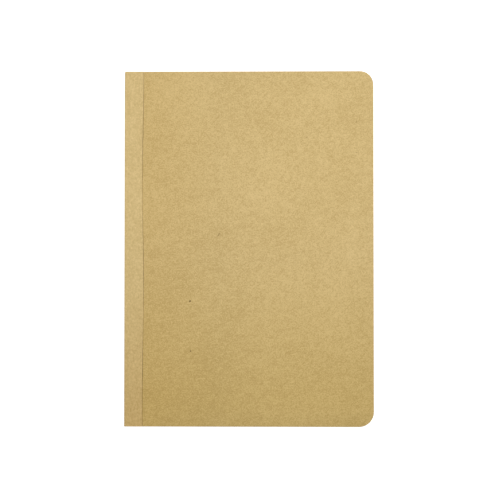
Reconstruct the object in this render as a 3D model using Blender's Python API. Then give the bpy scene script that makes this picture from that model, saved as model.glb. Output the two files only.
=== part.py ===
"""Pocket notebook: two kraft board covers, a spine tape and seven sewn signatures.

The book lies on its back cover. X runs from the spine to the fore edge, Y from the tail to
the head and Z from the back cover up to the front cover. The origin is under its middle.
It opens at three places: at the front cover, at its middle and at the back cover. Each hinge
axis runs along Y just outside the spine tape, so that nothing pinches as it opens.
"""

import math

import bmesh
import bpy

# Overall size, in metres.
HEIGHT = 0.148
WIDTH = 0.1038
HEAD_CORNER_RADIUS = 0.0056
TAIL_CORNER_RADIUS = 0.0062

# Covers and endpapers.
COVER_BOARD = 0.0006
ENDPAPER = 0.00015

# Text block: whole signatures in each half, and one more in the middle that opens flat.
LEAF = 0.00008
SHEETS_PER_SIGNATURE = 6
SIGNATURES_PER_HALF = 3
FOLD_RADIUS = 0.0004

# Spine tape: how far it reaches over each cover, and how far it lies under the cover's face.
TAPE = 0.0002
TAPE_FLAP = 0.0076
TAPE_RECESS = 0.00005

# Lining paper and glue on the spine, with the margin that each keeps from head and tail.
LINING = 0.00015
LINING_MARGIN = 0.002
GLUE = 0.0003
GLUE_MARGIN = 0.001

# Sewing: a thread runs in and out of the fold at the stations.
THREAD = 0.0003
STATIONS = 6
STATION_MARGIN = 0.012
STITCH_DEPTH = 0.0006
POINTS_PER_STITCH = 5
STITCH_STEEPNESS = 2.2

# Clearances.
LAYER_GAP = 0.0001
EDGE_GAP = 0.0003
THREAD_GAP = 0.0001
SPINE_AXIS_GAP = 0.00025
COVER_AXIS_GAP = 0.00012

# Segments of a round corner of the outline, and of the bend of a fold.
CORNER_SEGMENTS = 10
FOLD_SEGMENTS = 4

# Places that follow from the sizes.
SPINE_X = -WIDTH / 2
FORE_X = WIDTH / 2
LINING_X = SPINE_X + TAPE + LAYER_GAP
GLUE_X = LINING_X + LINING + LAYER_GAP
FOLD_X = GLUE_X + GLUE + LAYER_GAP
FLAP_X = SPINE_X + TAPE_FLAP
SIGNATURE = 2 * SHEETS_PER_SIGNATURE * LEAF
MIDDLE_LEAVES = (SHEETS_PER_SIGNATURE - 1) * LEAF
CHANNEL_DEPTH = THREAD_GAP + STITCH_DEPTH + THREAD + THREAD_GAP
AXIS_X = SPINE_X - SPINE_AXIS_GAP

# Each half is a stack of layers, from its cover to the middle of the book.
HALF_STACK = (
    [("cover", COVER_BOARD), ("pastedown", ENDPAPER), ("flyleaf", ENDPAPER)]
    + [(f"signature_{count}", SIGNATURE) for count in range(1, SIGNATURES_PER_HALF + 1)]
    + [("middle_signature", MIDDLE_LEAVES), ("centre_leaf", LEAF)]
)
HALF_THICKNESS = sum(thickness + LAYER_GAP for _, thickness in HALF_STACK) - LAYER_GAP / 2
THICKNESS = 2 * HALF_THICKNESS
MIDDLE_Z = HALF_THICKNESS

# Colour and roughness of each finish.
FINISHES = {
    "kraft_board": ((0.55, 0.39, 0.18), 0.85),
    "kraft_tape": ((0.60, 0.46, 0.24), 0.75),
    "paper": ((0.86, 0.82, 0.72), 0.9),
    "cotton_thread": ((0.88, 0.86, 0.80), 0.8),
    "lining_paper": ((0.70, 0.62, 0.46), 0.9),
    "spine_glue": ((0.78, 0.70, 0.50), 0.35),
}


def clear_scene():
    for obj in list(bpy.data.objects):
        bpy.data.objects.remove(obj)


def new_collection(name):
    collection = bpy.data.collections.new(name)
    bpy.context.scene.collection.children.link(collection)
    return collection


def new_material(name):
    colour, roughness = FINISHES[name]
    material = bpy.data.materials.new(name)
    material.use_nodes = True
    shader = material.node_tree.nodes["Principled BSDF"]
    shader.inputs["Base Color"].default_value = (*colour, 1.0)
    shader.inputs["Roughness"].default_value = roughness
    shader.inputs["Metallic"].default_value = 0.0
    return material


def arc(centre, radius, start_degrees, segments):
    """Points of a quarter circle, counterclockwise from an angle."""
    points = []
    for step in range(segments + 1):
        angle = math.radians(start_degrees + 90 * step / segments)
        points.append((centre[0] + radius * math.cos(angle), centre[1] + radius * math.sin(angle)))
    return points


def outline_curve(name, points, half_depth):
    """A flat closed outline in its own XY plane, filled, and half_depth thick each way."""
    curve = bpy.data.curves.new(name, "CURVE")
    curve.dimensions = "2D"
    curve.fill_mode = "BOTH"
    curve.extrude = half_depth
    spline = curve.splines.new("POLY")
    spline.points.add(len(points) - 1)
    for point, (x, y) in zip(spline.points, points):
        point.co = (x, y, 0.0, 1.0)
    spline.use_cyclic_u = True
    return bpy.data.objects.new(name, curve)


def as_mesh(curve_object, collection):
    """The curve object made a mesh object of the same name and place, with its caps welded on."""
    name = curve_object.name
    collection.objects.link(curve_object)
    bpy.context.view_layer.update()
    evaluated = curve_object.evaluated_get(bpy.context.evaluated_depsgraph_get())
    mesh = bpy.data.meshes.new_from_object(evaluated)
    build = bmesh.new()
    build.from_mesh(mesh)
    bmesh.ops.remove_doubles(build, verts=build.verts, dist=1e-7)
    bmesh.ops.recalc_face_normals(build, faces=build.faces)
    build.to_mesh(mesh)
    build.free()
    place = curve_object.matrix_world.copy()
    bpy.data.objects.remove(curve_object)
    made = bpy.data.objects.new(name, mesh)
    made.matrix_world = place
    collection.objects.link(made)
    return made


def page_shape(name, left, low, high, collection):
    """A flat piece from low to high with the book's outline: square at left, round at the fore edge."""
    head = HEIGHT / 2
    tail = -HEIGHT / 2
    tail_centre = (FORE_X - TAIL_CORNER_RADIUS, tail + TAIL_CORNER_RADIUS)
    head_centre = (FORE_X - HEAD_CORNER_RADIUS, head - HEAD_CORNER_RADIUS)
    points = [(left, tail)]
    points += arc(tail_centre, TAIL_CORNER_RADIUS, -90, CORNER_SEGMENTS)
    points += arc(head_centre, HEAD_CORNER_RADIUS, 0, CORNER_SEGMENTS)
    points.append((left, head))
    curve = outline_curve(name, points, (high - low) / 2)
    curve.location = (0.0, 0.0, (low + high) / 2)
    return as_mesh(curve, collection)


def folded_shape(name, low, high, low_radius, high_radius, collection):
    """Folded leaves from low to high, with the bend of the fold at the spine side."""
    points = [(FORE_X + EDGE_GAP, low), (FORE_X + EDGE_GAP, high)]
    if high_radius:
        points += arc((FOLD_X + high_radius, high - high_radius), high_radius, 90, FOLD_SEGMENTS)
    else:
        points.append((FOLD_X, high))
    if low_radius:
        points += arc((FOLD_X + low_radius, low + low_radius), low_radius, 180, FOLD_SEGMENTS)
    else:
        points.append((FOLD_X, low))
    curve = outline_curve(name, points, HEIGHT / 2)
    curve.rotation_euler = (math.radians(90), 0.0, 0.0)
    return as_mesh(curve, collection)


def block(name, low, high, collection):
    """A box between two corners."""
    mesh = bpy.data.meshes.new(name)
    build = bmesh.new()
    bmesh.ops.create_cube(build, size=1.0)
    bmesh.ops.scale(build, vec=[b - a for a, b in zip(low, high)], verts=build.verts)
    build.to_mesh(mesh)
    build.free()
    made = bpy.data.objects.new(name, mesh)
    made.location = [(a + b) / 2 for a, b in zip(low, high)]
    collection.objects.link(made)
    return made


def hide_cutter(cutter):
    cutter.hide_render = True
    cutter.display_type = "WIRE"
    return cutter


def cut(target, cutter, operation):
    modifier = target.modifiers.new(f"{operation.lower()}_{cutter.name}", "BOOLEAN")
    modifier.operation = operation
    modifier.solver = "EXACT"
    modifier.object = cutter


def finish(obj, material):
    obj.data.materials.clear()
    obj.data.materials.append(material)


def new_axis(name, x, z, parent, collection):
    """An empty on a hinge axis, which the pieces that turn about it are parented to."""
    axis = bpy.data.objects.new(name, None)
    axis.location = (x, 0.0, z)
    axis.empty_display_size = 0.01
    collection.objects.link(axis)
    if parent:
        attach(axis, parent)
    return axis


def attach(obj, parent):
    bpy.context.view_layer.update()
    obj.parent = parent
    obj.matrix_parent_inverse = parent.matrix_world.inverted()


class Book:
    """Builds the pieces and parents each to the axis that it turns about."""

    def __init__(self):
        self.parts = new_collection("pocket_notebook")
        self.cutters = new_collection("cutters")
        self.materials = {name: new_material(name) for name in FINISHES}
        self.axes = self.make_axes()
        self.outline = hide_cutter(
            page_shape("outline_cutter", SPINE_X - EDGE_GAP, -EDGE_GAP, THICKNESS + EDGE_GAP, self.cutters)
        )

    def make_axes(self):
        front_z = THICKNESS + COVER_AXIS_GAP
        back_z = -COVER_AXIS_GAP
        root = new_axis("back_half_axis", AXIS_X, MIDDLE_Z, None, self.parts)
        front_half = new_axis("front_half_axis", AXIS_X, MIDDLE_Z, root, self.parts)
        return {
            "back_half": root,
            "front_half": front_half,
            "front_cover": new_axis("front_cover_axis", AXIS_X, front_z, front_half, self.parts),
            "front_flyleaf": new_axis("front_flyleaf_axis", AXIS_X, front_z, front_half, self.parts),
            "front_centre": new_axis("front_centre_axis", AXIS_X, MIDDLE_Z, front_half, self.parts),
            "back_centre": new_axis("back_centre_axis", AXIS_X, MIDDLE_Z, root, self.parts),
            "back_cover": new_axis("back_cover_axis", AXIS_X, back_z, root, self.parts),
            "back_flyleaf": new_axis("back_flyleaf_axis", AXIS_X, back_z, root, self.parts),
        }

    def add(self, obj, finish_name, body):
        finish(obj, self.materials[finish_name])
        attach(obj, self.axes[body])
        return obj

    def make_cover(self, side, low, high, up):
        """A cover board, pressed thinner under the tape on its outer face."""
        cover = page_shape(f"{side}_cover", LINING_X, low, high, self.parts)
        step = TAPE_RECESS + TAPE + LAYER_GAP
        inner, outer = (high - step, high + EDGE_GAP) if up else (low + step, low - EDGE_GAP)
        strip = block(
            f"{side}_tape_cutter",
            (SPINE_X - EDGE_GAP, -HEIGHT, min(inner, outer)),
            (FLAP_X + EDGE_GAP, HEIGHT, max(inner, outer)),
            self.cutters,
        )
        cut(cover, hide_cutter(strip), "DIFFERENCE")
        self.add(cover, "kraft_board", f"{side}_cover")

    def make_tape_flap(self, side, face, up):
        """The tape where it lies on a cover, a little under the cover's face."""
        outer = face - TAPE_RECESS if up else face + TAPE_RECESS
        inner = outer - TAPE if up else outer + TAPE
        flap = block(
            f"{side}_tape_flap",
            (SPINE_X, -HEIGHT / 2, min(inner, outer)),
            (FLAP_X, HEIGHT / 2, max(inner, outer)),
            self.parts,
        )
        self.add(flap, "kraft_tape", f"{side}_cover")

    def make_signature(self, number, low, high, body):
        radius = min(FOLD_RADIUS, 0.45 * (high - low))
        signature = folded_shape(f"signature_{number}", low, high, radius, radius, self.parts)
        cut(signature, self.outline, "INTERSECT")
        middle = (low + high) / 2
        half_channel = THREAD / 2 + THREAD_GAP
        channel = block(
            f"sewing_cutter_{number}",
            (FOLD_X - EDGE_GAP, -HEIGHT, middle - half_channel),
            (FOLD_X + CHANNEL_DEPTH, HEIGHT, middle + half_channel),
            self.cutters,
        )
        cut(signature, hide_cutter(channel), "DIFFERENCE")
        self.add(signature, "paper", body)
        self.make_thread(number, middle, body)

    def make_middle_signature(self, side, low, high, up):
        """The outer five sheets of the middle signature, on one side of its centre sheet."""
        radius = min(FOLD_RADIUS, 0.9 * (high - low))
        low_radius, high_radius = (0.0, radius) if up else (radius, 0.0)
        name = f"middle_signature_{side}"
        leaves = folded_shape(name, low, high, low_radius, high_radius, self.parts)
        cut(leaves, self.outline, "INTERSECT")
        self.add(leaves, "paper", f"{side}_half")

    def make_thread(self, number, z, body):
        """A sewing thread that runs along the fold, inside it and outside it by turns."""
        curve = bpy.data.curves.new(f"sewing_thread_{number}", "CURVE")
        curve.dimensions = "3D"
        curve.bevel_depth = THREAD / 2
        curve.bevel_resolution = 2
        curve.use_fill_caps = True
        spline = curve.splines.new("POLY")
        steps = (STATIONS - 1) * POINTS_PER_STITCH
        spline.points.add(steps)
        reach = HEIGHT / 2 - STATION_MARGIN
        middle_x = FOLD_X + CHANNEL_DEPTH / 2
        for step, point in enumerate(spline.points):
            wave = STITCH_STEEPNESS * math.cos(math.pi * step / POINTS_PER_STITCH)
            side = max(-1.0, min(1.0, wave))
            x = middle_x + side * STITCH_DEPTH / 2
            point.co = (x, reach * (1 - 2 * step / steps), z, 1.0)
        thread = bpy.data.objects.new(curve.name, curve)
        self.parts.objects.link(thread)
        self.add(thread, "cotton_thread", body)

    def make_spine(self, side, layer, finish_name, span, margin, low, high):
        """One spine layer of one half: a strip between two X places and two Z places."""
        strip = block(
            f"spine_{layer}_{side}",
            (span[0], -HEIGHT / 2 + margin, low),
            (span[1], HEIGHT / 2 - margin, high),
            self.parts,
        )
        self.add(strip, finish_name, f"{side}_half")

    def make_half(self, side):
        """All the layers of one half, from its cover to the middle of the book."""
        up = side == "front"
        start = 0.0
        for layer, thickness in HALF_STACK:
            near = THICKNESS - start if up else start
            far = near - thickness if up else near + thickness
            self.make_layer(side, layer, min(near, far), max(near, far), up)
            start += thickness + LAYER_GAP
        face = THICKNESS if up else 0.0
        self.make_tape_flap(side, face, up)
        self.make_spine_layers(side, face, up)

    def make_layer(self, side, layer, low, high, up):
        if layer == "cover":
            self.make_cover(side, low, high, up)
        elif layer == "pastedown":
            leaf = page_shape(f"{side}_pastedown", LINING_X, low, high, self.parts)
            self.add(leaf, "paper", f"{side}_cover")
        elif layer == "flyleaf":
            leaf = page_shape(f"{side}_flyleaf", FOLD_X, low, high, self.parts)
            self.add(leaf, "paper", f"{side}_flyleaf")
        elif layer == "middle_signature":
            self.make_middle_signature(side, low, high, up)
        elif layer == "centre_leaf":
            left = FOLD_X + CHANNEL_DEPTH + EDGE_GAP
            leaf = page_shape(f"{side}_centre_leaf", left, low, high, self.parts)
            self.add(leaf, "paper", f"{side}_centre")
        else:
            place = int(layer.split("_")[-1])
            number = place if up else 2 * SIGNATURES_PER_HALF + 2 - place
            self.make_signature(number, low, high, f"{side}_half")

    def make_spine_layers(self, side, face, up):
        """The tape, lining paper and glue on one half of the spine."""
        sign = -1 if up else 1
        middle = MIDDLE_Z - sign * LAYER_GAP / 2
        tape_end = face + sign * (TAPE_RECESS + TAPE + LAYER_GAP)
        block_end = face + sign * (COVER_BOARD + 2 * ENDPAPER + 3 * LAYER_GAP)
        tape_span = (SPINE_X, SPINE_X + TAPE)
        lining_span = (LINING_X, LINING_X + LINING)
        glue_span = (GLUE_X, GLUE_X + GLUE)
        tape_low, tape_high = sorted((middle, tape_end))
        low, high = sorted((middle, block_end))
        self.make_spine(side, "tape", "kraft_tape", tape_span, 0.0, tape_low, tape_high)
        self.make_spine(side, "lining", "lining_paper", lining_span, LINING_MARGIN, low, high)
        self.make_spine(side, "glue", "spine_glue", glue_span, GLUE_MARGIN, low, high)

    def make(self):
        self.make_half("back")
        self.make_half("front")
        self.make_thread(SIGNATURES_PER_HALF + 1, MIDDLE_Z, "back_half")


clear_scene()
Book().make()
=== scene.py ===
"""Pocket notebook: two kraft board covers, a spine tape and seven sewn sections of paper.

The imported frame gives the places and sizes. X runs from the spine to the fore edge, Y from the
tail to the head and Z from the back cover up to the front cover. Each piece is made for the
front half and turned over for the back half, because the two halves are alike.
"""

import logging
import math
import random
from dataclasses import dataclass, field
from enum import Enum
from typing import Callable, Iterable, Optional, Sequence

import bmesh
import bpy
from bmesh.types import BMEdge, BMesh, BMVert
from bpy.types import Material, Mesh, Node, NodeSocket, Object
from mathutils import Matrix, Vector


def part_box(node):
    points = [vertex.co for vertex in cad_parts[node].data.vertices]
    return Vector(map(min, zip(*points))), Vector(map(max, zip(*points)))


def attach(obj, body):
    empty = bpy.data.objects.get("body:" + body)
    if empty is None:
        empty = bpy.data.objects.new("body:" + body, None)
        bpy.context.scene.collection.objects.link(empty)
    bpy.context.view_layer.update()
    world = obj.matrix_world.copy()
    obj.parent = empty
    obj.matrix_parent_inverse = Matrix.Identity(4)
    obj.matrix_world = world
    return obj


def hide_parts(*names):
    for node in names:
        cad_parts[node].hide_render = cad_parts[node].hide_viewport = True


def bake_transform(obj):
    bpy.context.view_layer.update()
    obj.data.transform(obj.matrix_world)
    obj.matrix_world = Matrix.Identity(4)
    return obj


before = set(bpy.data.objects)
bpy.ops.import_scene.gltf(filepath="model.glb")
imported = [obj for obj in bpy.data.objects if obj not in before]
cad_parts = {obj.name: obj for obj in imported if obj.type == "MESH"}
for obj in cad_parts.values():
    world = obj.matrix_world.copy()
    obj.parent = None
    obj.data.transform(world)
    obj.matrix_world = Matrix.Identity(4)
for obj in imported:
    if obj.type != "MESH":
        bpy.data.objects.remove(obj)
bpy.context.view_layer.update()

LOG = logging.getLogger("pocket_notebook")
REST_PLACE = "rest_place"

# One millimetre, and the distance within which two points are the same, in metres.
MM = 0.001
WELD = 1e-7

# The part of a face's normal along an axis that makes it face that way, and the most of it
# along Z that still leaves the face upright.
FACING = 0.5
UPRIGHT = 0.6

# The widest round that fits a fold, as a share of its height, and the turn from wave to wave.
FULL_ROUND = 0.49
WAVE_TURN = 2.4

# The eye's response to light, the usual spread of a tone, and the noise that makes a fibre.
EYE = 2.2
COMMON_TONES = (0.2, 0.8)
FIBRE_LEVELS = (0.60, 0.8)


class Side(Enum):
    """The two halves of the book."""

    FRONT = "front"
    BACK = "back"

    @property
    def half(self) -> str:
        """The body of this half's sections."""
        return f"{self.value}_half"

    @property
    def cover(self) -> str:
        """The body of this half's cover."""
        return f"{self.value}_cover"


class Axis(Enum):
    """An axis, as its place in a vector."""

    X = 0
    Y = 1
    Z = 2

    @property
    def way(self) -> Vector:
        """The unit vector along this axis."""
        return Vector([float(self.value == place) for place in range(3)])


# ---------------------------------------------------------------- places and shared shapes


@dataclass(frozen=True)
class Layout:
    """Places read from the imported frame."""

    spine_x: float
    fold_x: float
    flap_x: float
    fore_x: float
    tail_y: float
    head_y: float
    low_z: float
    high_z: float

    @property
    def middle_z(self) -> float:
        """The plane between the two halves."""
        return (self.low_z + self.high_z) / 2

    @classmethod
    def read(cls) -> "Layout":
        """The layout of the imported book.

        Returns:
            Its places.
        """
        cover_low, cover_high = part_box("front_cover")
        flap_low, flap_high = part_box("front_tape_flap")
        return cls(
            spine_x=flap_low.x,
            fold_x=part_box("signature_1")[0].x,
            flap_x=flap_high.x,
            fore_x=cover_high.x,
            tail_y=cover_low.y,
            head_y=cover_high.y,
            low_z=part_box("back_cover")[0].z,
            high_z=cover_high.z,
        )

    def rows(self, length: float) -> list[float]:
        """Places from the tail to the head, no further apart than a length."""
        return spread(self.tail_y, self.head_y, length)


def near(first: float, second: float) -> bool:
    """Whether two places are the same, apart from rounding."""
    return abs(first - second) < WELD


def edges_where(build: BMesh, test: Callable[[Vector], bool]) -> list:
    """The edges of a mesh whose two ends both pass a test."""
    return [edge for edge in build.edges if all(test(vert.co) for vert in edge.verts)]


def round_edges(build: BMesh, edges: list, radius: float, segments: int) -> None:
    """Rounds edges of a mesh to a radius in metres, with so many segments in each round."""
    bmesh.ops.bevel(
        build,
        geom=edges,
        offset=radius,
        offset_type="OFFSET",
        segments=segments,
        profile=0.5,
        affect="EDGES",
        material=-1,
        clamp_overlap=True,
    )


def cut_at(build: BMesh, axis: Axis, place: float, **cleared: bool) -> list:
    """Cuts a mesh across an axis.

    Args:
        build: The mesh to change.
        axis: The axis that the cut stands across.
        place: Where the cut goes along it, in metres.
        cleared: The side of the cut that is thrown away, if there is one.

    Returns:
        The points and edges that lie in the cut.
    """
    whole = build.verts[:] + build.edges[:] + build.faces[:]
    spot = axis.way * place
    cut = bmesh.ops.bisect_plane(build, geom=whole, dist=WELD, plane_co=spot, plane_no=axis.way, **cleared)
    return cut["geom_cut"]


def cut_rows(build: BMesh, axis: Axis, places: Iterable[float]) -> None:
    """Cuts a mesh across an axis at several places, so that it can bend or wander between them."""
    for place in places:
        cut_at(build, axis, place)


def keep_between(build: BMesh, low_z: float, high_z: float) -> None:
    """Cuts away all of a mesh that isn't between two heights."""
    cut_at(build, Axis.Z, low_z, clear_inner=True)
    cut_at(build, Axis.Z, high_z, clear_outer=True)


def spread(start: float, stop: float, step: float) -> list[float]:
    """Evenly spaced places strictly between two ends, no further apart than a step."""
    count = max(1, math.ceil((stop - start) / step))
    return [start + (stop - start) * place / count for place in range(1, count)]


def give_thickness(build: BMesh, thickness: float) -> None:
    """Makes a closed solid of an open sheet, with its thickness inward of its faces."""
    bmesh.ops.solidify(build, geom=build.faces[:], thickness=thickness)
    bmesh.ops.recalc_face_normals(build, faces=build.faces)


def wave(place: float, *periods: float) -> float:
    """A slow wandering between -1 and 1 along a length.

    Args:
        place: Where along the length, in metres.
        periods: The lengths of the waves that it is made of, in metres.

    Returns:
        The mean of the waves at that place.
    """
    turns = [2 * math.pi * place / period for period in periods]
    return sum(math.sin(turn + WAVE_TURN * number) for number, turn in enumerate(turns)) / len(turns)


def smooth_step(value: float) -> float:
    """A value from 0 to 1 eased at both ends."""
    value = min(1.0, max(0.0, value))
    return value * value * (3 - 2 * value)


def block(low: Vector, high: Vector) -> BMesh:
    """A closed box between its lowest and its highest corner.

    Args:
        low: Its lowest corner.
        high: Its highest corner.

    Returns:
        A new mesh.
    """
    build = bmesh.new()
    bmesh.ops.create_cube(build, size=1.0)
    bmesh.ops.scale(build, vec=high - low, verts=build.verts)
    bmesh.ops.translate(build, vec=(low + high) / 2, verts=build.verts)
    return build


def wrapped_sheet(low: Vector, high: Vector, radius: float, segments: int) -> BMesh:
    """An open sheet wrapped round the underside, the spine side and the upper side of a box.

    Args:
        low: The box's lowest corner.
        high: The box's highest corner.
        radius: Radius of the two corners that it goes round.
        segments: Segments of each of them.

    Returns:
        A new mesh, without its thickness.
    """
    build = block(low, high)
    build.normal_update()
    ends = [face for face in build.faces if face.normal.x > FACING or abs(face.normal.y) > FACING]
    bmesh.ops.delete(build, geom=ends, context="FACES")
    corners = edges_where(build, lambda point: near(point.x, low.x))
    corners = [edge for edge in corners if abs(edge.verts[0].co.y - edge.verts[1].co.y) > MM]
    round_edges(build, corners, radius, segments)
    return build


@dataclass(frozen=True)
class Trim:
    """The book's trimmed outline: square at the spine, round at the fore edge."""

    layout: Layout
    head_radius: float = 5.6 * MM
    tail_radius: float = 6.2 * MM
    corner_segments: int = 16
    wide_rows: float = 6 * MM

    def slab(self, left: float, low_z: float, high_z: float) -> BMesh:
        """A flat closed slab with the trimmed outline.

        Args:
            left: Where it begins at the spine side.
            low_z: Its underside.
            high_z: Its upper side.

        Returns:
            A new mesh.
        """
        place = self.layout
        build = block(Vector((left, place.tail_y, low_z)), Vector((place.fore_x, place.head_y, high_z)))
        for end, radius in ((place.head_y, self.head_radius), (place.tail_y, self.tail_radius)):
            corner = edges_where(build, lambda point: near(point.x, place.fore_x) and near(point.y, end))
            round_edges(build, corner, radius, self.corner_segments)
        return build

    def turning_leaf(self, left: float, low_z: float, high_z: float, reach: float, step: float) -> BMesh:
        """A leaf cut into narrow rows near its fold.

        Args:
            left: Where it begins at the spine side.
            low_z: Its underside.
            high_z: Its upper side.
            reach: How far from its fold the narrow rows go.
            step: The width of its rows there.

        Returns:
            A new mesh.
        """
        build = self.slab(left, low_z, high_z)
        cut_rows(build, Axis.X, spread(left, left + reach, step))
        cut_rows(build, Axis.X, spread(left + reach, self.layout.fore_x, self.wide_rows))
        return build

    def folded_sheet(
        self, left: float, low_z: float, high_z: float, radius: float, segments: int
    ) -> BMesh:
        """An open sheet folded once at the spine side, without its thickness.

        Args:
            left: Where the fold lies.
            low_z: The outside of the lower leaf.
            high_z: The outside of the upper leaf.
            radius: Radius of the bend.
            segments: Segments of each quarter of the bend.

        Returns:
            A new mesh.
        """
        build = self.slab(left, low_z, high_z)
        build.normal_update()
        rims = [face for face in build.faces if abs(face.normal.z) < FACING and face.normal.x > -FACING]
        bmesh.ops.delete(build, geom=rims, context="FACES")
        fold = edges_where(build, lambda point: near(point.x, left))
        fold = [edge for edge in fold if edge.calc_length() > high_z - low_z + WELD]
        round_edges(build, fold, min(radius, FULL_ROUND * (high_z - low_z)), segments)
        return build


def to_side(build: BMesh, side: Side, layout: Layout) -> None:
    """Turns a mesh made for the front half over to the back half, if that is its side.

    Args:
        build: The mesh to change.
        side: The side that it is for.
        layout: The book's places.
    """
    if side is Side.BACK:
        over = Matrix.Diagonal((1, 1, -1, 1))
        middle = Vector((0, 0, layout.middle_z))
        bmesh.ops.transform(build, matrix=over, space=Matrix.Translation(-middle), verts=build.verts)
        bmesh.ops.reverse_faces(build, faces=build.faces)


def make_piece(name: str, build: BMesh, finishes: Sequence[Material], sharp: float = 35.0) -> Object:
    """Writes a mesh to a new object, and keeps each point's place at rest as an attribute.

    Args:
        name: The piece's name.
        build: Its mesh, which is freed.
        finishes: Its materials, in the order that its faces name them.
        sharp: Edges sharper than this many degrees stay sharp.

    Returns:
        The new object.
    """
    rest = build.verts.layers.float_vector.new(REST_PLACE)
    for vert in build.verts:
        vert[rest] = vert.co
    mesh = bpy.data.meshes.new(name)
    build.to_mesh(mesh)
    build.free()
    mesh.shade_smooth()
    mesh.set_sharp_from_angle(angle=math.radians(sharp))
    for finish in finishes:
        mesh.materials.append(finish)
    piece = bpy.data.objects.new(name, mesh)
    bpy.context.scene.collection.objects.link(piece)
    LOG.info("%s: %d faces", name, len(mesh.polygons))
    return piece


def blend_to_cover(piece: Object, side: Side) -> None:
    """Bakes a piece's place into its mesh, the same for either side.

    Args:
        piece: The piece whose place is baked.
        side: The side of the cover.
    """
    if side is Side.FRONT:
        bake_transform(piece)
    else:
        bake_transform(piece)


# ---------------------------------------------------------------- finishes


@dataclass(frozen=True)
class Tone:
    """A colour in linear light."""

    red: float
    green: float
    blue: float

    def shifted(self, step: float) -> "Tone":
        """This colour with each channel moved by one equal step, as the eye reads it."""
        channels = (self.red, self.green, self.blue)
        return Tone(*[max(0.0, value ** (1 / EYE) + step) ** EYE for value in channels])

    def stops(self, contrast: float, low: float = 0.0, high: float = 1.0) -> tuple:
        """Stops of a ramp from a darker shade at one value, through this tone, to a paler one."""
        middle = (low + high) / 2
        return ((low, self.shifted(-contrast)), (middle, self), (high, self.shifted(contrast)))

    @property
    def rgba(self) -> tuple:
        """The colour as a socket takes it."""
        return (self.red, self.green, self.blue, 1.0)


@dataclass(frozen=True)
class Grain:
    """One layer of mottling: the size of its spots, and how much it counts."""

    size: float
    weight: float
    detail: float = 2.0


@dataclass(frozen=True)
class Fibres:
    """One layer of fibres that lie about one direction."""

    degrees: float
    length: float
    width: float
    weight: float


@dataclass(frozen=True)
class Fleck:
    """One dark fleck of bark in the board, seen from above."""

    x: float
    y: float
    length: float
    width: float
    degrees: float
    depth: float


@dataclass(frozen=True)
class Streaks:
    """One layer of noise with its own length along each axis, and how much it counts."""

    size: tuple
    weight: float
    detail: float = 2.0
    degrees: float = 0.0


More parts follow.
